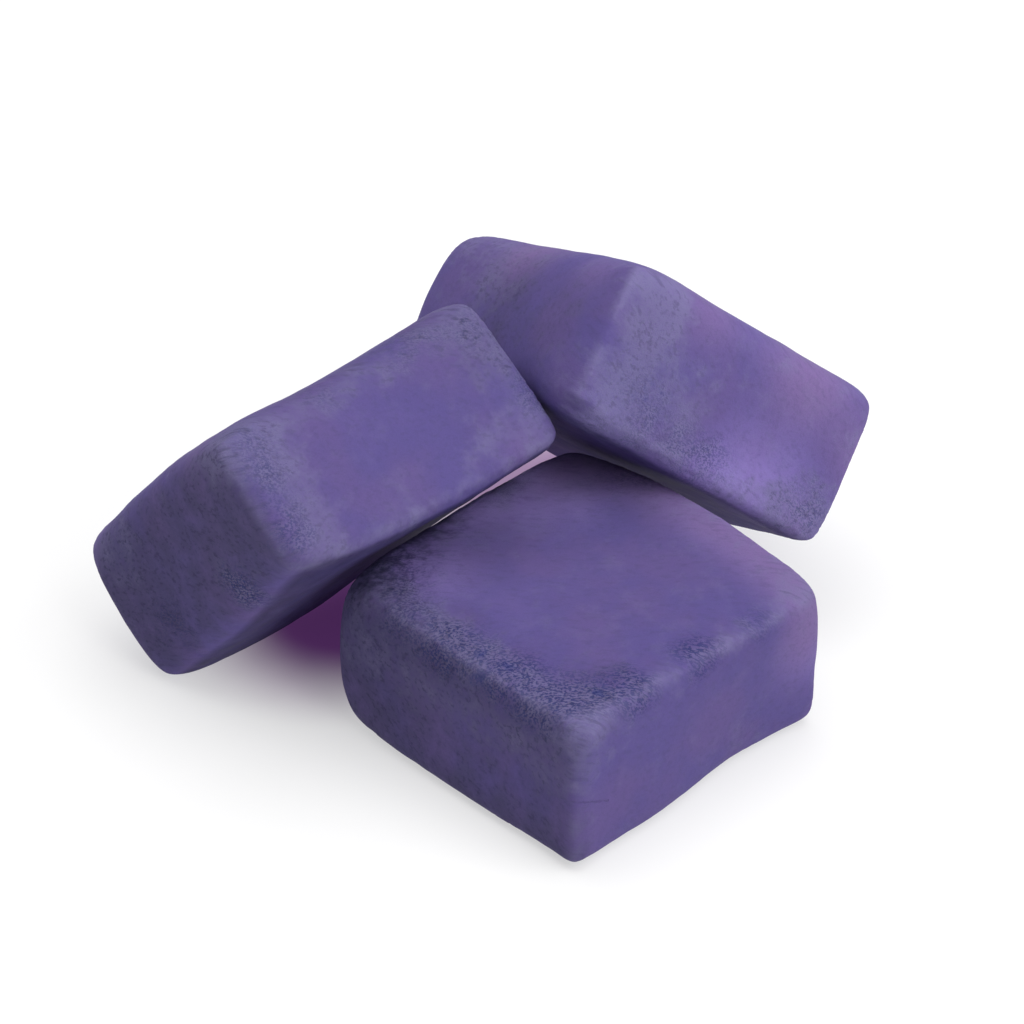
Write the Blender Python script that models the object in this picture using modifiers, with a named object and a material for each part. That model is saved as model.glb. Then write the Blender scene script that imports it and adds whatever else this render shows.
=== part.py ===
"""Three loose cakes of cast rosin: one lies flat and the other two lean on it.

Metres, +Z up. The front cake lies on the plane z = 0 with the middle of its base at the origin and its
sides square to X and Y. All three cakes come from one square mould. They are hand cast, so each has small
faults of its own: corners out of place, edges and faces that bow, and edges that are worn round.
"""

import math

import bmesh
import bpy
from mathutils import Vector

MM = 0.001

# The mould that all three cakes are cast in.
CAKE_WIDTH = 35.0 * MM
CAKE_THICKNESS = 17.2 * MM
HALF_SIZE = Vector((CAKE_WIDTH, CAKE_WIDTH, CAKE_THICKNESS)) / 2

# The coarse cage that each cake is smoothed from.
EDGE_LOOP_INSET = 3.8 * MM  # from an edge to the first loop: it sets how round the edge is
MIDDLE_LOOP = 0.27  # where the middle loops cross a broad face, as a share of half its width
SMOOTHING_LEVELS = 2
BOW_REACH = 15.0 * MM  # how far from its middle a bow is felt

ROSIN_COLOUR = (0.145, 0.105, 0.300, 1.0)
ROSIN_ROUGHNESS = 0.55

# Below, a place on a cake is given in half sizes along its own x, y and z: (-1, 1, 1) is a corner,
# (-1, 0, 1) the middle of an edge and (0, 0, 1) the middle of a face. z is the cake's thickness.
# Corners and bows are moved by (x, y, z), and worn edges are pressed in, all in millimetres.

FRONT_CAKE_CORNERS = {
    (-1, -1, 1): (0.0, -0.4, -0.4),
    (-1, 1, 1): (-0.4, -0.7, -0.2),
    (1, -1, 1): (-0.3, 0.5, 0.4),
    (1, 1, 1): (-1.3, 0.9, 1.3),
    (1, -1, -1): (0.0, -0.2, 0.0),
}
FRONT_CAKE_BOWS = {
    (0.5, -1, -1): (0.0, 2.5, 0.0),
    (0, 1, 1): (0.0, 0.0, 0.6),
    (1, 0, 1): (0.6, 0.0, 1.5),
    (-1, 0, -1): (-0.8, 0.0, 0.0),
    (-1, 1, 0): (-1.2, 1.4, 0.0),
    (0, 0, 1): (0.0, 0.0, -0.4),
    (-1, 0, 0): (0.3, 0.0, 0.0),
    (1, 0, 0): (-0.4, 0.0, 0.0),
}
FRONT_CAKE_WORN_EDGES = {
    (-1, 0, 1): 1.6,
    (0, -1, 1): 0.8,
    (0, 1, -1): 1.6,
    (-1, 1, 0): 1.2,
    (1, 1, 0): 1.6,
}

LEFT_CAKE_CENTRE = (-10.7 * MM, 27.5 * MM, 19.25 * MM)
LEFT_CAKE_TILT = (-47.1, -2.5, 0.8)
LEFT_CAKE_CORNERS = {
    (-1, -1, -1): (0.0, 0.0, 0.8),
    (-1, -1, 1): (0.2, 0.0, -0.2),
    (-1, 1, -1): (0.4, 0.2, -0.9),
    (-1, 1, 1): (0.5, -0.3, 0.2),
    (1, -1, -1): (0.2, -0.5, -0.8),
    (1, -1, 1): (-0.5, -0.2, 0.3),
    (1, 1, -1): (-0.7, 0.8, 0.4),
}
LEFT_CAKE_BOWS = {
    (0, -1, -1): (0.0, 0.0, -1.4),
    (0, -1, 1): (0.0, 0.3, -0.6),
    (0, 1, -1): (0.0, 0.5, -1.2),
    (-1, 0, -1): (0.6, 0.0, -1.1),
    (-1, 0, 1): (0.3, 0.0, 0.9),
    (-1, 1, 0): (-0.8, 0.5, 0.0),
    (0, -1, 0): (0.0, 0.4, 0.0),
    (0, 0, 1): (0.0, 0.0, -0.4),
    (0, 1, 0): (0.0, -0.3, 0.0),
}
LEFT_CAKE_WORN_EDGES = {
    (0, -1, 1): 1.1,
    (-1, 0, -1): 1.2,
    (-1, 0, 1): 1.0,
}

BACK_CAKE_CENTRE = (24.7 * MM, 17.7 * MM, 21.3 * MM)
BACK_CAKE_TILT = (-28.2, 38.0, -30.1)
BACK_CAKE_CORNERS = {
    (-1, -1, -1): (-0.4, 1.9, -0.7),
    (-1, -1, 1): (1.3, -0.9, 0.6),
    (-1, 1, 1): (0.0, 0.0, 0.3),
    (1, -1, -1): (0.3, 0.0, 0.0),
    (1, -1, 1): (0.0, 0.0, 0.4),
    (1, 1, -1): (-1.0, -1.0, -0.7),
}
BACK_CAKE_BOWS = {
    (0, -1, 1): (0.0, 0.0, -0.4),
    (-1, 1, 0): (-0.9, 0.5, 0.0),
    (0, -1, 0): (0.0, 0.4, 0.0),
    (-1, 0, 0): (0.5, 0.0, 0.0),
    (0, 0, 1): (0.0, 0.0, -0.4),
    (0, 1, 0): (0.0, -0.3, 0.0),
}
BACK_CAKE_WORN_EDGES = {
    (-1, 0, 1): 1.6,
    (-1, 0, -1): 1.6,
    (0, -1, 1): 1.3,
    (-1, -1, 0): 1.6,
}


def clear_scene():
    """Remove every object of the open scene."""
    for item in list(bpy.data.objects):
        bpy.data.objects.remove(item, do_unlink=True)


def loop_places(axis):
    """Where the cage's loops cross this axis, in half sizes."""
    edge_loop = 1 - EDGE_LOOP_INSET / HALF_SIZE[axis]
    if axis == 2:
        return (-edge_loop, edge_loop)
    return (-edge_loop, -MIDDLE_LOOP, MIDDLE_LOOP, edge_loop)


def square_cage():
    """A cube from -1 to 1, cut by a loop at each of its loop places."""
    cage = bmesh.new()
    bmesh.ops.create_cube(cage, size=2.0)
    for axis in range(3):
        across = Vector((0, 0, 0))
        across[axis] = 1
        for place in loop_places(axis):
            everything = cage.verts[:] + cage.edges[:] + cage.faces[:]
            bmesh.ops.bisect_plane(cage, geom=everything, plane_co=across * place, plane_no=across)
    return cage


def corner_share(place, corner):
    """How much of a corner's move reaches this place: 1 at the corner and 0 on the faces opposite."""
    share = 1.0
    for axis in range(3):
        share *= (1 + place[axis] * corner[axis]) / 2
    return share


def bow_share(place, middle):
    """How much of a bow reaches this place: 1 at its middle, falling smoothly to 0."""
    offset = [(place[axis] - middle[axis]) * HALF_SIZE[axis] for axis in range(3)]
    distance = Vector(offset).length
    if distance > BOW_REACH:
        return 0.0
    return math.cos(math.pi / 2 * distance / BOW_REACH) ** 2


def is_on_edge(place, edge):
    """Whether this place lies on the edge: it shares both coordinates that aren't 0."""
    return all(abs(place[axis] - edge[axis]) < 1e-5 for axis in range(3) if edge[axis])


def cast_place(place, corners, bows, worn_edges):
    """Where a place on the perfect block ends up on the cast cake, in metres from its centre."""
    point = Vector([place[axis] * HALF_SIZE[axis] for axis in range(3)])
    for corner, move in corners.items():
        point += Vector(move) * MM * corner_share(place, corner)
    for middle, move in bows.items():
        point += Vector(move) * MM * bow_share(place, middle)
    for edge, depth in worn_edges.items():
        if is_on_edge(place, edge):
            point -= Vector(edge) * MM * depth
    return point


def rosin_material(name):
    """Purple rosin with a dull surface."""
    material = bpy.data.materials.new(name)
    material.use_nodes = True
    shader = material.node_tree.nodes["Principled BSDF"]
    shader.inputs["Base Color"].default_value = ROSIN_COLOUR
    shader.inputs["Roughness"].default_value = ROSIN_ROUGHNESS
    shader.inputs["Metallic"].default_value = 0.0
    return material


def cast_cake(name, corners, bows, worn_edges):
    """One cake with its centre at the origin: the cage with its faults, smoothed."""
    cage = square_cage()
    for vertex in cage.verts:
        vertex.co = cast_place(vertex.co.copy(), corners, bows, worn_edges)
    mesh = bpy.data.meshes.new(name)
    cage.to_mesh(mesh)
    cage.free()
    mesh.shade_smooth()
    mesh.materials.append(rosin_material(name + "_rosin"))
    cake = bpy.data.objects.new(name, mesh)
    smoothing = cake.modifiers.new("smoothing", "SUBSURF")
    smoothing.levels = SMOOTHING_LEVELS
    smoothing.render_levels = SMOOTHING_LEVELS
    return cake


def place_cake(cake, centre, tilt):
    """Put a cake's centre at this point, turned about X, then Y, then Z by these degrees."""
    cake.location = centre
    cake.rotation_euler = [math.radians(angle) for angle in tilt]


def front_cake():
    """The cake that lies flat and carries the other two."""
    cake = cast_cake("front_cake", FRONT_CAKE_CORNERS, FRONT_CAKE_BOWS, FRONT_CAKE_WORN_EDGES)
    place_cake(cake, (0.0, 0.0, CAKE_THICKNESS / 2), (0, 0, 0))
    return cake


def left_cake():
    """The cake that stands on one long edge and leans on the front cake's back edge."""
    cake = cast_cake("left_cake", LEFT_CAKE_CORNERS, LEFT_CAKE_BOWS, LEFT_CAKE_WORN_EDGES)
    place_cake(cake, LEFT_CAKE_CENTRE, LEFT_CAKE_TILT)
    return cake


def back_cake():
    """The cake that stands on one corner and leans on the front cake's back corner."""
    cake = cast_cake("back_cake", BACK_CAKE_CORNERS, BACK_CAKE_BOWS, BACK_CAKE_WORN_EDGES)
    place_cake(cake, BACK_CAKE_CENTRE, BACK_CAKE_TILT)
    return cake


def main():
    clear_scene()
    parts = bpy.data.collections.new("rosin_cake")
    bpy.context.scene.collection.children.link(parts)
    for cake in (front_cake(), left_cake(), back_cake()):
        parts.objects.link(cake)


main()
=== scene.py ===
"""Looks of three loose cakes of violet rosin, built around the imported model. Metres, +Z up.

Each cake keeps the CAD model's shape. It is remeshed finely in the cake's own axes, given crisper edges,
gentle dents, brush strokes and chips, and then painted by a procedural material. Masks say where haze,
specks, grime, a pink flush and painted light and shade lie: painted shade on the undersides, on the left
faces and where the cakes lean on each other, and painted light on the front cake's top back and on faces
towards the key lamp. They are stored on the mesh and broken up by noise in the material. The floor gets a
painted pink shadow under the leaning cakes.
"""

import math

import bmesh
import bpy
import numpy as np
from mathutils import Euler, Matrix, Vector, noise


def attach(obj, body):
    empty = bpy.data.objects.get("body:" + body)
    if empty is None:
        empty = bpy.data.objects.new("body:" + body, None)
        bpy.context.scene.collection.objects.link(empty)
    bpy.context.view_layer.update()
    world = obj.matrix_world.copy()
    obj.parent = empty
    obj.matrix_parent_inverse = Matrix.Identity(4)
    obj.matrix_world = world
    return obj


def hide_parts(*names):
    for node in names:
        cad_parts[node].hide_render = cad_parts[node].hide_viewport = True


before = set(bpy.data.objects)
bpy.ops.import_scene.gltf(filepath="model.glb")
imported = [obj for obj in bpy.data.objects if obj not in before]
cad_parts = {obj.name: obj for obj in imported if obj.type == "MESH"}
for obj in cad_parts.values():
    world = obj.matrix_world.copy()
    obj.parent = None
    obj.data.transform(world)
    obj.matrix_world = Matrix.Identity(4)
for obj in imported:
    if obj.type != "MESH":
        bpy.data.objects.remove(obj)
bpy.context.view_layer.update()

MM = 0.001

CAKE_WIDTH = 35.0 * MM
CAKE_THICKNESS = 17.2 * MM
HALF_SIZE = np.array((CAKE_WIDTH, CAKE_WIDTH, CAKE_THICKNESS)) / 2

# Each cake's own axes, as the part places them: its centre in millimetres, and its turn about X, then Y,
# then Z in degrees.
CAKE_PLACES = {
    "front_cake": ((0.0, 0.0, 8.6), (0.0, 0.0, 0.0)),
    "left_cake": ((-10.7, 27.5, 19.25), (-47.1, -2.5, 0.8)),
    "back_cake": ((24.7, 17.7, 21.3), (-28.2, 38.0, -30.1)),
}

# The skin of a cake. Sizes, depths and reaches are in millimetres.
SKIN_VOXEL = 0.235
DENT_SIZE = 6.5
DENT_DEPTH = 0.10
STROKE_SIZE = 0.65
STROKE_DEPTH = 0.09
CHIP_SIZE = 2.2
CHIP_DEPTH = 0.22
CHIP_REACH = 3.5  # how far from an edge chips are found
CHIP_START = 0.45  # how high the noise stands where a chip begins: the higher, the fewer chips
CHIP_STEEPNESS = 2.0  # how quickly a chip gets to its full depth from there
CRISP_REACH = 5.0  # how far to either side of its crest a crisp edge is raised
CREST_ROUNDING = 0.35  # how round the crest itself stays
CREST_INSET = 3.2  # how deep under the block's own faces the crest of a worn edge may lie
RIM_REACH = 1.2  # how far from a crest the rim's pale line reaches
CREST_FADING = 0.15  # how much of an edge's half length a crest takes to fade in
CREST_TURNING = 2.4  # how soon a crest fades where the skin turns towards the edge's own ends

# How straight down, in the cake's own axes, the skin faces where the painted shade of its underside begins
# and where it is full.
UNDERSIDE_BEGINS = 0.8
UNDERSIDE_FULL = 0.95

# Below, a place on a cake is given in half sizes along its own x, y and z: (-1, 0, 1) is the middle of an
# edge, and None means all along that axis.

# A crisp edge is its place, how far it stands out in millimetres, from where to where along it that
# holds, and how many millimetres its crest lies off the middle, away from the first face it borders.
CRISP_EDGES = {
    "front_cake": (
        ((-1, None, 1), 1.1, (-1.2, 0.9), 0.0),
        ((None, -1, 1), 0.7, (-1.2, 0.9), 0.0),
        ((-1, -1, None), 0.75, (-0.95, 1.2), 0.0),
    ),
    "left_cake": (((-1, -1, None), 0.8, (-1.0, 1.0), 0.0), ((None, -1, -1), 0.4, (-1.0, 1.0), 0.0)),
    "back_cake": (((-1, -1, None), 1.0, (-0.9, 0.95), 1.4), ((None, -1, -1), 0.4, (-0.9, 1.0), 0.0)),
}

# A mark is its place, its reach in millimetres and its strength.

# Pale haze, where the rosin is scuffed and dusty.
HAZE = {
    "front_cake": (
        ((-0.86, None, 1), 5.5, 0.9),
        ((None, -0.93, 1), 4.0, 0.55),
        ((-0.75, -0.8, 1), 8.0, 0.6),
        ((-1, None, 0.3), 7.0, 0.5),
        ((-0.9, -1, None), 3.0, 0.25),
        ((-0.5, -1, 0.55), 8.0, 0.4),
        ((0.9, None, 1), 6.0, 0.5),
        ((0.4, -1, -0.6), 8.0, 0.4),
        ((1, 1, None), 7.0, 0.6),
        ((None, 1, 0.9), 7.0, 0.6),
        ((0.2, 0.95, 1), 7.0, 0.7),
        ((1, 0.2, 0), 9.0, 0.5),
    ),
    "left_cake": (
        ((-0.74, -1, None), 6.0, 0.85),
        ((None, -1, 0.8), 7.0, 0.65),
        ((0.9, -1, None), 8.5, 0.65),
        ((-0.2, -1, -0.95), 7.0, 0.6),
        ((0.5, -1, -0.8), 7.0, 0.5),
        ((-1, -0.35, -0.7), 8.0, 0.7),
        ((-1, -0.8, 0.8), 8.0, 0.5),
        ((-1, 0.6, 0.5), 9.0, 0.5),
        ((-1, None, 1), 6.0, 0.5),
        ((None, 1, 1), 7.0, 0.6),
        ((0.3, 0.2, 1), 13.0, 0.5),
        ((1, 0.3, 0), 10.0, 0.6),
        ((0.2, 1, 0), 10.0, 0.5),
    ),
    "back_cake": (
        ((-0.62, -1, None), 7.5, 1.0),
        ((-0.2, -1, -0.1), 8.0, 0.6),
        ((None, -1, -0.9), 7.0, 0.6),
        ((0.85, -1, -0.7), 8.0, 0.7),
        ((0.3, -1, 0.9), 9.0, 0.4),
        ((-1, 0.35, 0.3), 11.0, 0.6),
        ((-1, None, 1), 6.0, 0.5),
        ((1, None, 0.6), 8.0, 0.6),
        ((None, 1, 0.8), 8.0, 0.6),
        ((0.2, 0.1, 1), 13.0, 0.5),
    ),
}

# Dark brush-like specks.
SPECKS = {
    "front_cake": (
        ((-0.93, 0.45, 1), 7.0, 0.8),
        ((-0.9, 0.05, 1), 6.5, 1.0),
        ((-0.88, -0.35, 1), 7.0, 1.1),
        ((-0.82, -0.72, 1), 7.0, 1.1),
        ((-0.5, -0.9, 1), 6.0, 1.0),
        ((0.0, -0.93, 1), 5.5, 0.9),
        ((0.45, -0.97, 1), 5.0, 0.7),
        ((-1, 0.15, 0.8), 5.0, 0.7),
        ((-1, -0.6, 0.85), 5.0, 0.6),
        ((-0.65, 0.8, 1), 8.0, 0.6),
        ((0.8, 0.5, 1), 7.0, 0.5),
        ((0.45, -1, -0.5), 6.0, 0.4),
        ((1, 0.4, 0.8), 7.0, 0.7),
        ((0.3, 1, 0.6), 8.0, 0.6),
    ),
    "left_cake": (
        ((-0.8, -1, 0.6), 6.0, 0.5),
        ((-0.82, -1, 0.0), 5.5, 0.5),
        ((-0.85, -1, -0.5), 5.0, 0.6),
        ((0.85, -1, 0.6), 8.0, 0.45),
        ((0.4, -1, 0.85), 8.0, 0.5),
        ((-0.2, -1, 0.9), 7.0, 0.5),
        ((0.95, -1, -0.4), 6.0, 0.6),
        ((-1, -0.35, -0.7), 6.0, 1.0),
        ((-1, 0.5, -0.5), 8.0, 0.5),
        ((-1, 0.6, 0.6), 7.0, 0.4),
        ((0.0, 1, 0.9), 12.0, 0.6),
        ((-0.4, 0.4, 1), 10.0, 0.5),
    ),
    "back_cake": (
        ((-0.55, -1, -0.2), 7.0, 0.25),
        ((-0.4, -1, -0.75), 7.0, 0.5),
        ((0.05, -1, -0.8), 8.0, 0.6),
        ((0.8, -1, -0.7), 7.0, 0.55),
        ((-1, 0.5, 0.1), 9.0, 0.15),
        ((0.3, 0.2, 1), 12.0, 0.5),
        ((1, 0.2, 0.5), 9.0, 0.6),
    ),
}

# Greyer rosin, and painted shade: the marks that cover the left faces, which turn away from the key lamp,
# darken them as shade would.
SLATE_AND_SIDE_SHADE = {
    "front_cake": (
        ((-1, None, None), 3.5, 0.55),
        ((-1, 0.6, 0), 13.0, 0.6),
        ((-1, None, -1), 5.0, 0.7),
        ((-1, None, 0.7), 6.0, 0.5),
        ((-0.6, -0.75, 1), 8.0, 0.5),
        ((-0.9, 0.1, 1), 9.0, 0.5),
        ((0.2, 1, -0.2), 12.0, 0.5),
    ),
    "left_cake": (
        ((-1, None, None), 3.5, 0.8),
        ((-1, 0.6, 0.2), 9.0, 0.5),
        ((0.9, -1, 0.3), 10.0, 0.5),
        ((None, -1, 1), 7.0, 0.5),
        ((0.2, 0.4, 1), 14.0, 0.5),
    ),
    "back_cake": (
        ((-1, 0.15, 0.0), 13.0, 0.6),
        ((-1, -0.55, 0.0), 9.0, 0.4),
        ((0.7, -1, -0.8), 9.0, 0.4),
        ((0.2, 1, 0.1), 14.0, 0.5),
    ),
}

# Near-black dirt and painted contact shade: the front cake's marks darken its top back, where the left and
# back cakes lean on it and hang over it.
GRIME_AND_CONTACT_SHADE = {
    "front_cake": (
        ((-0.3, 1.0, 1), 8.0, 0.7),
        ((-0.75, 0.9, 1), 9.0, 0.6),
    ),
    "left_cake": (((0.6, 1, 0.9), 8.0, 0.5),),
    "back_cake": (((0.5, 1, -0.6), 9.0, 0.5),),
}

# A pink flush, partly painted warm light: many marks lie on the faces and edges that turn to the key lamp.
BLUSH_AND_WARM_LIGHT = {
    "front_cake": (
        ((0.9, None, 1), 8.0, 0.8),
        ((0.6, 0.8, 1), 9.0, 0.5),
        ((0.85, -1, 0.4), 8.0, 0.6),
        ((-1, 0.1, -0.2), 7.0, 0.2),
        ((-0.2, 0.1, 1), 12.0, 0.12),
    ),
    "left_cake": (
        ((0.7, -1, -1), 7.0, 0.4),
        ((-1, -0.6, 0.8), 8.0, 0.4),
        ((-0.3, -1, 0.6), 9.0, 0.2),
    ),
    "back_cake": (
        ((0.5, -1, 0.8), 11.0, 0.8),
        ((-0.3, -1, 0.9), 9.0, 0.6),
        ((1, -1, 0.2), 7.0, 0.6),
        ((-1, 0.2, 0.85), 9.0, 0.8),
        ((-1, -0.6, 0.8), 7.0, 0.5),
        ((0.8, -1, -1), 8.0, 0.5),
    ),
}

# Lighter rosin, and painted light: the front cake's marks lift its top back, which the left and back cakes
# shade, and its right edges, which face the key lamp.
PALE_AND_PAINTED_LIGHT = {
    "front_cake": (
        ((0.4, 1.0, 1), 16.0, 1.0),
        ((0.0, 1.1, 1), 9.0, 1.0),
        ((-0.6, 0.7, 1), 11.0, 0.6),
        ((0.9, None, 1), 7.0, 0.4),
        ((0.9, -1, 0.2), 9.0, 0.4),
    ),
    "left_cake": (((None, 1, 1), 9.0, 0.5), ((0.4, 0.2, 1), 14.0, 0.3)),
    "back_cake": (((0.4, -1, -0.8), 14.0, 0.55), ((None, -1, -1), 5.0, 0.3), ((0.4, 0.2, 1), 14.0, 0.3)),
}

# Blots of blue dye.
INK = {
    "front_cake": (
        ((-0.65, -0.81, 1), 1.9, 1.0),
        ((-0.83, -0.86, 1), 2.4, 0.9),
        ((-0.93, -0.2, 1), 5.0, 0.8),
        ((-0.9, -0.5, 1), 3.0, 0.6),
    ),
    "left_cake": (((-0.86, -1, 0.3), 2.5, 0.3), ((0.8, 0.7, 1), 4.0, 0.4)),
    "back_cake": (((-0.45, -1, -0.3), 4.0, 0.4), ((0.9, 0.5, 0.8), 4.0, 0.4)),
}

MASKS = {
    "haze": HAZE,
    "specks": SPECKS,
    "slate_and_shade": SLATE_AND_SIDE_SHADE,
    "grime_and_shade": GRIME_AND_CONTACT_SHADE,
    "blush_and_warm_light": BLUSH_AND_WARM_LIGHT,
    "pale_and_lit": PALE_AND_PAINTED_LIGHT,
    "ink": INK,
}

# Hairline cracks, each from one place on a face to another. Their sizes are in millimetres.
CRACKS = {
    "front_cake": (
        ((-0.97, -1.0, 0.02), (-0.76, -1.0, -0.2)),
        ((0.58, -1.0, -0.03), (0.68, -1.0, -0.22)),
        ((1.0, 0.3, 0.2), (1.0, 0.45, -0.1)),
    ),
    "left_cake": (
        ((0.8, -1.0, 0.07), (0.91, -1.0, -0.05)),
        ((0.4, 1.0, 0.3), (0.6, 1.0, 0.0)),
    ),
    "back_cake": (((1.0, 0.2, 0.1), (1.0, 0.0, 0.4)),),
}
CRACK_WIDTH = 0.13
CRACK_WANDER = 0.6  # how far its outline wanders
CRACK_WANDER_SIZE = 0.8
CRACK_FLATTENING = 0.15  # how little the way across its face counts, so that a crack reaches into dents

# The rosin's patterns: the size of each in millimetres, how far strokes and streaks are drawn out, and how
# they are turned about X, Y and Z.
CLOUD_SIZE = 8.0
PATCH_SIZE = 2.6
BLOT_SIZE = 0.9
STREAK_SIZE = 0.5
STIPPLE_SIZE = 0.19
POWDER_SIZE = 0.14
STROKE_LENGTH = 2.2
STREAK_LENGTH = 6.0
STROKE_TURN = (0.0, 0.35, math.radians(-45))
RELIEF = 0.08  # the height of the finest relief in millimetres

# The rosin's colours, how light each cake's rosin is painted, and how strongly painted shade darkens its
# underside.
VIOLET = (0.108, 0.079, 0.220, 1.0)
BLUER_VIOLET = (0.092, 0.073, 0.222, 1.0)
# Lighter rosin, also used as painted light on the front cake's top back and right edges.
PALE_AND_LIT_VIOLET = (0.255, 0.190, 0.480, 1.0)
HAZE_LAVENDER = (0.160, 0.145, 0.278, 1.0)
RIM_LAVENDER = (0.175, 0.158, 0.300, 1.0)
SPECK_NAVY = (0.022, 0.031, 0.122, 1.0)
INK_BLUE = (0.040, 0.048, 0.175, 1.0)
# Grey rosin, also used as painted shade on the left faces.
SLATE_AND_SHADE_GREY = (0.059, 0.052, 0.116, 1.0)
# Near-black for dirt, dark streaks and powder, and for painted contact shade.
GRIME_AND_SHADE_DARK = (0.020, 0.019, 0.048, 1.0)
# Painted shade that darkens the faces turned down.
UNDERSIDE_SHADE_NAVY = (0.018, 0.017, 0.042, 1.0)
# A pinker tone, also used as painted warm light on faces that turn to the key lamp.
BLUSH_AND_WARM_LIGHT_PINK = (0.165, 0.112, 0.258, 1.0)
CRACK_DARK = (0.025, 0.020, 0.055, 1.0)
# Painted light: the back cake's rosin is painted 15 % lighter than the others, standing in for the light on
# it.
CAKE_PAINTED_LIGHTNESS = {"front_cake": 1.0, "left_cake": 1.0, "back_cake": 1.15}
UNDERSIDE_SHADE_STRENGTH = {"front_cake": 0.85, "left_cake": 0.85, "back_cake": 0.65}


def cake_matrix(name):
    """From the cake's own axes to the row frame."""
    centre, tilt = CAKE_PLACES[name]
    turn = Euler([math.radians(angle) for angle in tilt], "XYZ").to_matrix().to_4x4()
    return Matrix.Translation(Vector(centre) * MM) @ turn


def smooth_copy(name, matrix):
    """The CAD cake's mesh in the cake's own axes, as quads."""
    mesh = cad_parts[name].data.copy()
    mesh.transform(matrix.inverted())
    quads = bmesh.new()
    quads.from_mesh(mesh)
    bmesh.ops.remove_doubles(quads, verts=quads.verts, dist=1e-6)
    bmesh.ops.join_triangles(
        quads, faces=quads.faces, angle_face_threshold=0.7, angle_shape_threshold=0.7
    )
    quads.to_mesh(mesh)
    quads.free()
    return mesh


def fine_skin(name, matrix):
    """The cake's skin as an even mesh, fine enough for chips and brush strokes."""
    carrier = bpy.data.objects.new(name + "_carrier", smooth_copy(name, matrix))
    bpy.context.collection.objects.link(carrier)
    rounding = carrier.modifiers.new("rounding", "SUBSURF")
    rounding.levels = rounding.render_levels = 2
    evening = carrier.modifiers.new("evening", "REMESH")
    evening.mode = "VOXEL"
    evening.voxel_size = SKIN_VOXEL * MM
    settling = carrier.modifiers.new("settling", "SMOOTH")
    settling.factor = 0.5
    settling.iterations = 4
    depsgraph = bpy.context.evaluated_depsgraph_get()
    mesh = bpy.data.meshes.new_from_object(carrier.evaluated_get(depsgraph))
    bpy.data.objects.remove(carrier)
    return mesh


def points_of(mesh):
    """The mesh's points, one row each."""
    points = np.empty(len(mesh.vertices) * 3)
    mesh.vertices.foreach_get("co", points)
    return points.reshape(-1, 3)


def normals_of(mesh):
    """The mesh's normals at its points, one row each."""
    normals = np.empty(len(mesh.vertices) * 3)
    mesh.vertex_normals.foreach_get("vector", normals)
    return normals.reshape(-1, 3)


def nearness(points, place, reach):
    """1 at the mark's place, falling smoothly to 0 at its reach."""
    squared = np.zeros(len(points))
    for axis in range(3):
        if place[axis] is not None:
            squared += (points[:, axis] - place[axis] * HALF_SIZE[axis]) ** 2
    distance = np.clip(np.sqrt(squared) / (reach * MM), 0, 1)
    return np.cos(distance * np.pi / 2) ** 2


def mask(points, marks):
    """Marks that overlap add up, softly limited to 1."""
    clear = np.ones(len(points))
    for place, reach, strength in marks:
        clear *= 1 - np.minimum(strength * nearness(points, place, reach), 1)
    return 1 - clear


def noise_at(points, size, octaves, seed, stretch=(1.0, 1.0, 1.0)):
    """Smooth noise with bumps of this size in millimetres, about -1 to 1."""
    shift = Vector((seed * 17.3, seed * 9.1, seed * 5.7))
    scaled = points / (np.array(stretch) * size * MM)
    return np.array([noise.fractal(Vector(place) + shift, 0.9, 2.0, octaves) for place in scaled])


def crest(points, normals, edge, run, offset, reach):
    """1 on the crest of an edge, falling steeply to 0 at this reach on either side of it."""
    insets = [HALF_SIZE[axis] - side * points[:, axis] for axis, side in enumerate(edge) if side]
    sideways = np.hypot((insets[0] - insets[1]) / MM - offset, CREST_ROUNDING) - CREST_ROUNDING
    near = np.clip(2 - np.minimum(*insets) / (CREST_INSET * MM), 0, 1)
    length_axis = edge.index(None)
    near *= np.clip(2 - CREST_TURNING * normals[:, length_axis] ** 2, 0, 1)
    along = points[:, length_axis] / HALF_SIZE[length_axis]
    begin, end = run
    near *= np.clip((along - begin) / CREST_FADING, 0, 1) * np.clip((end - along) / CREST_FADING, 0, 1)
    return near * np.clip(1 - sideways / reach, 0, 1) ** 2


def crisp_edges(points, normals, edges):
    """How many millimetres each point moves outward to make the visible edges crisper."""
    push = np.zeros(len(points))
    for edge, height, run, offset in edges:
        push += height * crest(points, normals, edge, run, offset, CRISP_REACH)
    return push


def edge_nearness(points, reach):
    """1 on any of the block's edges, falling to 0 inside its faces."""
    inset = np.sort(HALF_SIZE - np.abs(points), axis=1)
    return np.clip(1 - inset[:, 1] / (reach * MM), 0, 1)


def rims(points, normals, edges):
    """1 along the crests of the crisp edges."""
    crests = [crest(points, normals, edge, run, offset, RIM_REACH) for edge, _, run, offset in edges]
    return np.maximum.reduce(crests)


def rough_up(points, masks, seed):
    """Millimetres of dents all over, brush strokes where the skin is specked, and chips along the edges."""
    dents = DENT_DEPTH * noise_at(points, DENT_SIZE, 3, seed)
    strokes = STROKE_DEPTH * noise_at(points, STROKE_SIZE, 2, seed + 5, (1.0, 1.0, 0.5))
    strokes *= np.clip(masks["specks"] + 0.5 * masks["haze"], 0, 1)
    chips = np.clip(CHIP_STEEPNESS * (noise_at(points, CHIP_SIZE, 3, seed + 9) - CHIP_START), 0, 1)
    chips *= CHIP_DEPTH * edge_nearness(points, CHIP_REACH)
    return dents + strokes - chips


def in_row_frame(points, matrix):
    """The points in the row frame, with any that would lie below the floor lifted onto it."""
    moved = points @ np.array(matrix.to_3x3()).T + np.array(matrix.translation)
    moved[:, 2] = np.maximum(moved[:, 2], 0)
    return moved


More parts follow.
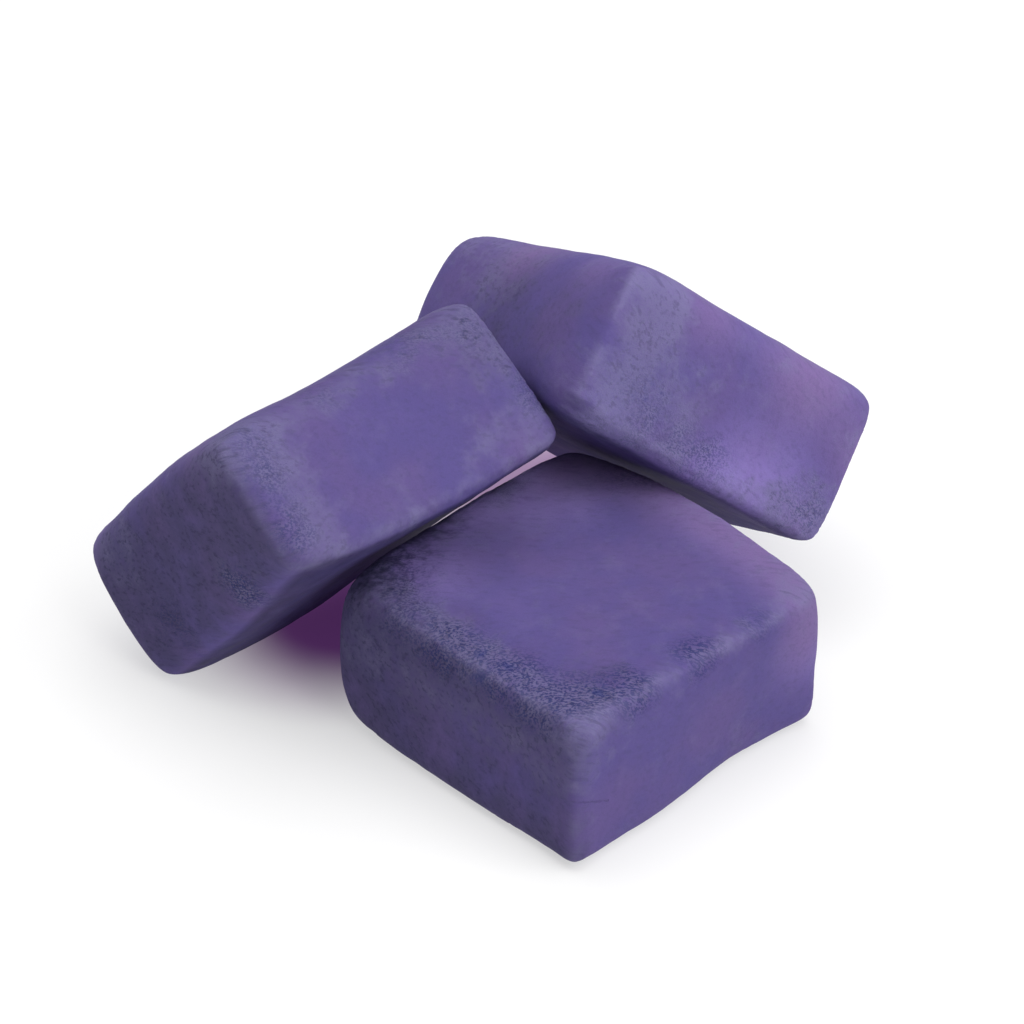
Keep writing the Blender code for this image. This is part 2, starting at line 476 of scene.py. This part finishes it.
def skin_masks(name, points, normals):
    """Each kind of mark as a value from 0 to 1 at every point."""
    masks = {kind: mask(points, marks[name]) for kind, marks in MASKS.items()}
    # Painted shade: the faces turned down, in the cake's own axes, are darkened as if in shadow.
    facing_down = (-normals[:, 2] - UNDERSIDE_BEGINS) / (UNDERSIDE_FULL - UNDERSIDE_BEGINS)
    masks["underside_shade"] = UNDERSIDE_SHADE_STRENGTH[name] * np.clip(facing_down, 0, 1)
    masks["rims"] = rims(points, normals, CRISP_EDGES[name])
    return masks


def store_on_mesh(mesh, points, masks):
    """Keep the masks, and each point's own place in millimetres, for the material to read."""
    for kind, values in masks.items():
        attribute = mesh.attributes.new(kind, "FLOAT", "POINT")
        attribute.data.foreach_set("value", values.astype(np.float32))
    own_place = mesh.attributes.new("own_place", "FLOAT_VECTOR", "POINT")
    own_place.data.foreach_set("vector", (points / MM).astype(np.float32).ravel())


def build_cake(name, seed):
    """The finished cake, which rides on the CAD cake's body and replaces it."""
    matrix = cake_matrix(name)
    mesh = fine_skin(name, matrix)
    points = points_of(mesh)
    normals = normals_of(mesh)
    masks = skin_masks(name, points, normals)
    store_on_mesh(mesh, points, masks)
    push = crisp_edges(points, normals, CRISP_EDGES[name]) + rough_up(points, masks, seed)
    shaped = points + normals * push[:, None] * MM
    mesh.vertices.foreach_set("co", in_row_frame(shaped, matrix).ravel())
    mesh.update()
    mesh.shade_smooth()
    mesh.materials.clear()
    mesh.materials.append(rosin_material(name, seed))
    cake = bpy.data.objects.new(name + "_skin", mesh)
    bpy.context.collection.objects.link(cake)
    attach(cake, name)
    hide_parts(name)
    print(name, len(mesh.polygons), "faces")


class Nodes:
    """Short calls for the nodes that a material is built from."""

    def __init__(self, owner):
        self.tree = owner.node_tree

    def add(self, kind, inputs=None, **settings):
        """A node with these settings, each input either linked to a socket or set to a value."""
        node = self.tree.nodes.new(kind)
        for name, value in settings.items():
            setattr(node, name, value)
        for socket, value in (inputs or {}).items():
            if isinstance(value, bpy.types.NodeSocket):
                self.tree.links.new(value, node.inputs[socket])
            else:
                node.inputs[socket].default_value = value
        return node

    def math(self, operation, a, b=0.0, clamp=False):
        """The result of an operation on two numbers."""
        return self.add("ShaderNodeMath", {0: a, 1: b}, operation=operation, use_clamp=clamp).outputs[0]

    def vector(self, operation, a, b=(0.0, 0.0, 0.0)):
        """The result of an operation on two vectors: a vector or a number."""
        node = self.add("ShaderNodeVectorMath", {0: a, 1: b}, operation=operation)
        return node.outputs["Value" if operation in ("DOT_PRODUCT", "LENGTH") else "Vector"]

    def scaled(self, a, scale):
        """A vector or colour times a number."""
        return self.add("ShaderNodeVectorMath", {0: a, "Scale": scale}, operation="SCALE").outputs["Vector"]

    def ramp(self, value, low, high, out_low=0.0, out_high=1.0):
        """A smooth step from out_low to out_high as value goes from low to high."""
        inputs = {"Value": value, "From Min": low, "From Max": high, "To Min": out_low, "To Max": out_high}
        return self.add("ShaderNodeMapRange", inputs, interpolation_type="SMOOTHSTEP").outputs["Result"]

    def noise(self, place, size, detail=2.0, roughness=0.5):
        """Smooth noise from 0 to 1, with bumps of this size."""
        inputs = {"Vector": place, "Scale": 1.0 / size, "Detail": detail, "Roughness": roughness}
        return self.add("ShaderNodeTexNoise", inputs).outputs["Fac"]

    def mix(self, share, a, b):
        """Colour a with this share of colour b over it."""
        node = self.add("ShaderNodeMix", {"Factor": share}, data_type="RGBA")
        for socket, value in ((6, a), (7, b)):
            if isinstance(value, bpy.types.NodeSocket):
                self.tree.links.new(value, node.inputs[socket])
            else:
                node.inputs[socket].default_value = value
        return node.outputs[2]

    def mask(self, kind):
        """A mask that is stored on the mesh."""
        return self.add("ShaderNodeAttribute", attribute_name=kind).outputs["Fac"]

    def broken_mask(self, kind, breaker, amount, low, high):
        """A mask whose edge is broken up by noise."""
        shifted = self.math("MULTIPLY", self.math("SUBTRACT", breaker, 0.5), amount)
        return self.ramp(self.math("ADD", self.mask(kind), shifted), low, high)


def millimetres(n, seed):
    """The cake's own place in millimetres, shifted so that no two cakes look alike."""
    place = n.add("ShaderNodeAttribute", attribute_name="own_place").outputs["Vector"]
    return place, n.vector("ADD", place, (seed * 37.0, seed * 11.0, seed * 23.0))


def stroke_axes(n, place, length):
    """The place with the brush strokes' direction drawn out to this many times its width."""
    inputs = {"Vector": place, "Rotation": STROKE_TURN, "Scale": (length, 1.0, 1.0)}
    return n.add("ShaderNodeMapping", inputs, vector_type="TEXTURE").outputs["Vector"]


def crack_share(n, place, cracks):
    """1 inside a hairline crack, 0 away from all of them."""
    share = 0.0
    unevenness = n.math("SUBTRACT", n.noise(place, CRACK_WANDER_SIZE), 0.5)
    wander = n.math("MULTIPLY", unevenness, CRACK_WANDER)
    for start, end in cracks:
        start_mm = Vector(np.array(start) * HALF_SIZE / MM)
        run = Vector(np.array(end) * HALF_SIZE / MM) - start_mm
        flattening = tuple(CRACK_FLATTENING if abs(side) == 1 else 1.0 for side in start)
        offset = n.vector("MULTIPLY", n.vector("SUBTRACT", place, tuple(start_mm)), flattening)
        along = n.vector("DOT_PRODUCT", offset, tuple(run))
        along = n.math("DIVIDE", along, run.length_squared, clamp=True)
        nearest = n.scaled(tuple(run), along)
        distance = n.vector("LENGTH", n.vector("SUBTRACT", offset, nearest))
        distance = n.math("ADD", distance, wander)
        share = n.math("MAXIMUM", share, n.ramp(distance, CRACK_WIDTH, 0.4 * CRACK_WIDTH, 0.0, 1.0))
    return share


def rosin_patterns(n, place):
    """The noise patterns that the rosin is painted with, from the broadest to the finest."""
    strokes = stroke_axes(n, place, STROKE_LENGTH)
    streaks = stroke_axes(n, place, STREAK_LENGTH)
    return {
        "cloud": n.noise(place, CLOUD_SIZE, 3.0),
        "patch": n.noise(place, PATCH_SIZE, 5.0, 0.65),
        "blot": n.noise(strokes, BLOT_SIZE, 3.0, 0.6),
        "streak": n.noise(streaks, STREAK_SIZE, 3.0, 0.6),
        "stipple": n.noise(strokes, STIPPLE_SIZE, 2.0, 0.6),
        "powder": n.noise(place, POWDER_SIZE, 2.0, 0.6),
    }


def rosin_shares(n, patterns, own_place, cracks):
    """How much of each kind of mark shows at a place, from 0 to 1: the masks, broken up by the patterns."""
    cloud, patch, blot = patterns["cloud"], patterns["patch"], patterns["blot"]
    haze = n.broken_mask("haze", patch, 1.3, 0.25, 0.95)
    speck_zone = n.broken_mask("specks", patch, 0.9, 0.15, 0.95)
    return {
        "haze": n.math("MULTIPLY", haze, n.ramp(patterns["powder"], 0.3, 0.6, 0.5, 1.0)),
        "slate_and_shade": n.broken_mask("slate_and_shade", patch, 1.2, 0.15, 1.0),
        "specks": n.math("MULTIPLY", speck_zone, n.ramp(patterns["stipple"], 0.485, 0.555)),
        "blots": n.math("MULTIPLY", speck_zone, n.ramp(blot, 0.62, 0.70)),
        "grime_and_shade": n.broken_mask("grime_and_shade", blot, 1.2, 0.15, 0.9),
        "underside_shade": n.math("MULTIPLY", n.mask("underside_shade"), n.ramp(patch, 0.25, 0.65, 0.88, 0.6)),
        "blush_and_warm_light": n.broken_mask("blush_and_warm_light", cloud, 0.6, 0.0, 1.0),
        "pale_and_lit": n.broken_mask("pale_and_lit", cloud, 0.5, 0.0, 1.0),
        "ink": n.broken_mask("ink", blot, 1.5, 0.3, 0.8),
        "rims": n.math("MULTIPLY", n.mask("rims"), n.ramp(patch, 0.3, 0.6)),
        "cracks": crack_share(n, own_place, cracks),
    }


def rosin_colour(n, patterns, shares):
    """The rosin's colour, laid in layers from the body of the rosin outward."""
    patch, streak, powder = patterns["patch"], patterns["streak"], patterns["powder"]
    slate_and_shade_streaks = n.math("MULTIPLY", shares["slate_and_shade"], 0.35)
    haze_streaks = n.math("MULTIPLY", shares["haze"], 0.3)
    dark_streaks = n.math("ADD", slate_and_shade_streaks, haze_streaks)
    layers = (
        (n.ramp(patterns["cloud"], 0.35, 0.65), BLUER_VIOLET),
        # lighter rosin and painted light
        (shares["pale_and_lit"], PALE_AND_LIT_VIOLET),
        # pinker tone and painted warm light
        (shares["blush_and_warm_light"], BLUSH_AND_WARM_LIGHT_PINK),
        (n.ramp(streak, 0.45, 0.75, 0.0, 0.25), SLATE_AND_SHADE_GREY),
        (n.ramp(patch, 0.48, 0.72, 0.0, 0.2), HAZE_LAVENDER),
        # grey rosin and painted shade on the left faces
        (n.math("MULTIPLY", shares["slate_and_shade"], 0.85), SLATE_AND_SHADE_GREY),
        (n.math("MULTIPLY", shares["haze"], 0.75), HAZE_LAVENDER),
        (n.math("MULTIPLY", dark_streaks, n.ramp(streak, 0.5, 0.68)), GRIME_AND_SHADE_DARK),
        (n.math("MULTIPLY", shares["blots"], 0.25), INK_BLUE),
        (n.math("MULTIPLY", shares["ink"], 0.8), INK_BLUE),
        (n.math("MULTIPLY", shares["specks"], 0.75), SPECK_NAVY),
        # dirt and painted contact shade
        (n.math("MULTIPLY", shares["grime_and_shade"], 0.8), GRIME_AND_SHADE_DARK),
        # painted shade on the underside
        (shares["underside_shade"], UNDERSIDE_SHADE_NAVY),
        (n.ramp(powder, 0.35, 0.7, 0.0, 0.1), GRIME_AND_SHADE_DARK),
        (n.math("MULTIPLY", shares["rims"], 0.35), RIM_LAVENDER),
        (n.math("MULTIPLY", shares["cracks"], 0.18), CRACK_DARK),
    )
    colour = VIOLET
    for share, layer in layers:
        colour = n.mix(share, colour, layer)
    return colour


def rosin_roughness(n, patterns, shares):
    """Dull all over, and duller where the haze and the marks of grime and painted contact shade lie."""
    haze_dullness = n.math("MULTIPLY", shares["haze"], 0.2)
    grime_and_shade_dullness = n.math("MULTIPLY", shares["grime_and_shade"], 0.25)
    dullness = n.math("ADD", haze_dullness, grime_and_shade_dullness)
    return n.math("ADD", dullness, n.ramp(patterns["patch"], 0.3, 0.7, 0.5, 0.65))


def rosin_bump(n, patterns, shares):
    """The finest relief: powder and haze stand up a little, specks and cracks are sunk in."""
    height = n.math("MULTIPLY", patterns["powder"], 0.25)
    height = n.math("ADD", height, n.math("MULTIPLY", shares["haze"], 0.3))
    height = n.math("SUBTRACT", height, shares["specks"])
    height = n.math("SUBTRACT", height, n.math("MULTIPLY", shares["cracks"], 0.5))
    bump = n.add("ShaderNodeBump", {"Strength": 0.9, "Distance": RELIEF * MM, "Height": height})
    return bump.outputs["Normal"]


def rosin_material(name, seed):
    """Dull violet rosin: hazed, specked, greyed and flushed, with painted shade and painted light, where
    the masks say so.
    """
    material = bpy.data.materials.new(name + "_rosin")
    material.use_nodes = True
    n = Nodes(material)
    own_place, place = millimetres(n, seed)
    patterns = rosin_patterns(n, place)
    shares = rosin_shares(n, patterns, own_place, CRACKS[name])
    colour = n.scaled(rosin_colour(n, patterns, shares), CAKE_PAINTED_LIGHTNESS[name])

    shader = material.node_tree.nodes["Principled BSDF"]
    n.tree.links.new(colour, shader.inputs["Base Color"])
    n.tree.links.new(rosin_roughness(n, patterns, shares), shader.inputs["Roughness"])
    n.tree.links.new(rosin_bump(n, patterns, shares), shader.inputs["Normal"])
    shader.inputs["Specular IOR Level"].default_value = 0.02
    shader.inputs["Subsurface Weight"].default_value = 0.25
    shader.inputs["Subsurface Radius"].default_value = (1.0, 0.5, 1.0)
    shader.inputs["Subsurface Scale"].default_value = 1.5 * MM
    return material


# The studio, in metres and watts where it doesn't say otherwise.
FLOOR_HALF_WIDTH = 3.0
FLOOR_WHITE = (0.42, 0.42, 0.42, 1.0)
FLOOR_GLOW = (0.52, 0.52, 0.52, 1.0)
# Painted shadow: the floor's colour and glow inside the painted shadow spots.
FLOOR_SHADOW_PINK = (0.30, 0.13, 0.33, 1.0)
FLOOR_SHADOW_GLOW = (0.05, 0.015, 0.07, 1.0)
# Where a pink shadow is painted on the floor under the leaning cakes: a place and its reach in millimetres,
# how strongly it is painted, and how many millimetres its outline wanders.
PAINTED_SHADOW_SPOTS = (((-6.0, 30.0, 0.0), 20.0, 1.0, 3.0), ((24.0, 35.0, 0.0), 18.0, 0.8, 18.0))
SHADOW_WANDER_SIZE = 14.0  # the size of that wandering, in millimetres
SKY_BRIGHTNESS = 0.38
SKY_SEEN = 0.72  # how bright the sky looks behind the floor
# Each lamp is the direction it hangs in, its distance, its width and its power.
LAMPS = {
    "key": ((0.20, -0.75, 0.62), 1.2, 1.4, 12.0),
    "top": ((0.05, 0.15, 1.00), 1.2, 1.4, 11.5),
}

# The camera looks at a point near the middle of the group. Its angles are in degrees and its lens is in
# millimetres.
CAMERA_AZIMUTH = -42.83
CAMERA_ELEVATION = 33.89
CAMERA_DISTANCE = 0.42
CAMERA_LENS = 149.3
LOOK_AT = Vector((0.26, 10.29, 19.92)) * MM


def floor_material():
    """White and lit a little from below, with a painted pink shadow, darker and with less glow, under the
    leaning cakes.
    """
    material = bpy.data.materials.new("pale_floor")
    material.use_nodes = True
    n = Nodes(material)
    shader = material.node_tree.nodes["Principled BSDF"]
    place = n.scaled(n.add("ShaderNodeTexCoord").outputs["Object"], 1 / MM)
    unevenness = n.math("SUBTRACT", n.noise(place, SHADOW_WANDER_SIZE), 0.5)
    pink_shadow = 0.0
    for spot, reach, share, wander in PAINTED_SHADOW_SPOTS:
        away = n.vector("LENGTH", n.vector("SUBTRACT", place, spot))
        away = n.math("ADD", away, n.math("MULTIPLY", unevenness, wander))
        pink_shadow = n.math("MAXIMUM", pink_shadow, n.ramp(away, 0.25 * reach, reach, share, 0.0))
    # painted shadow: pinker and darker, with less glow, inside the spots
    n.tree.links.new(n.mix(pink_shadow, FLOOR_WHITE, FLOOR_SHADOW_PINK), shader.inputs["Base Color"])
    n.tree.links.new(n.mix(pink_shadow, FLOOR_GLOW, FLOOR_SHADOW_GLOW), shader.inputs["Emission Color"])
    shader.inputs["Emission Strength"].default_value = 1.0
    shader.inputs["Roughness"].default_value = 0.9
    shader.inputs["Specular IOR Level"].default_value = 0.0
    return material


def lay_floor():
    """A plain square floor, wide enough to fill every view."""
    mesh = bpy.data.meshes.new("floor")
    shape = bmesh.new()
    bmesh.ops.create_grid(shape, x_segments=1, y_segments=1, size=FLOOR_HALF_WIDTH)
    shape.to_mesh(mesh)
    shape.free()
    mesh.materials.append(floor_material())
    floor = bpy.data.objects.new("floor", mesh)
    bpy.context.collection.objects.link(floor)


def hang_lamp(name, direction, distance, width, power):
    """A round soft lamp that shines at the origin."""
    light = bpy.data.lights.new(name, "AREA")
    light.shape = "DISK"
    light.size = width
    light.energy = power
    lamp = bpy.data.objects.new(name, light)
    lamp.location = Vector(direction).normalized() * distance
    lamp.rotation_euler = Vector(direction).to_track_quat("Z", "Y").to_euler()
    lamp.visible_camera = False
    bpy.context.collection.objects.link(lamp)


def light_sky():
    """An even white sky, which the camera sees as pale as the floor."""
    sky = bpy.data.worlds.new("studio")
    bpy.context.scene.world = sky
    sky.use_nodes = True
    n = Nodes(sky)
    background = sky.node_tree.nodes["Background"]
    background.inputs["Color"].default_value = (1.0, 1.0, 1.0, 1.0)
    seen = n.add("ShaderNodeLightPath").outputs["Is Camera Ray"]
    strength = n.add("ShaderNodeMapRange", {"Value": seen, "To Min": SKY_BRIGHTNESS, "To Max": SKY_SEEN})
    n.tree.links.new(strength.outputs["Result"], background.inputs["Strength"])


def place_camera():
    """The camera, level from side to side, at its angles and distance from the point it looks at."""
    azimuth = math.radians(CAMERA_AZIMUTH)
    elevation = math.radians(CAMERA_ELEVATION)
    level = math.cos(elevation)
    forward = Vector((-math.sin(azimuth) * level, math.cos(azimuth) * level, -math.sin(elevation)))
    data = bpy.data.cameras.new("camera")
    data.lens = CAMERA_LENS
    data.sensor_width = 36.0
    data.clip_start = 0.01
    data.clip_end = 20.0
    camera = bpy.data.objects.new("camera", data)
    camera.location = LOOK_AT - forward * CAMERA_DISTANCE
    camera.rotation_euler = forward.to_track_quat("-Z", "Y").to_euler()
    bpy.context.collection.objects.link(camera)
    bpy.context.scene.camera = camera


for seed, cake_name in enumerate(CAKE_PLACES, start=1):
    build_cake(cake_name, seed)
lay_floor()
light_sky()
for lamp_name, lamp_settings in LAMPS.items():
    hang_lamp(lamp_name, *lamp_settings)
place_camera()
bpy.context.scene.view_settings.view_transform = "Standard"
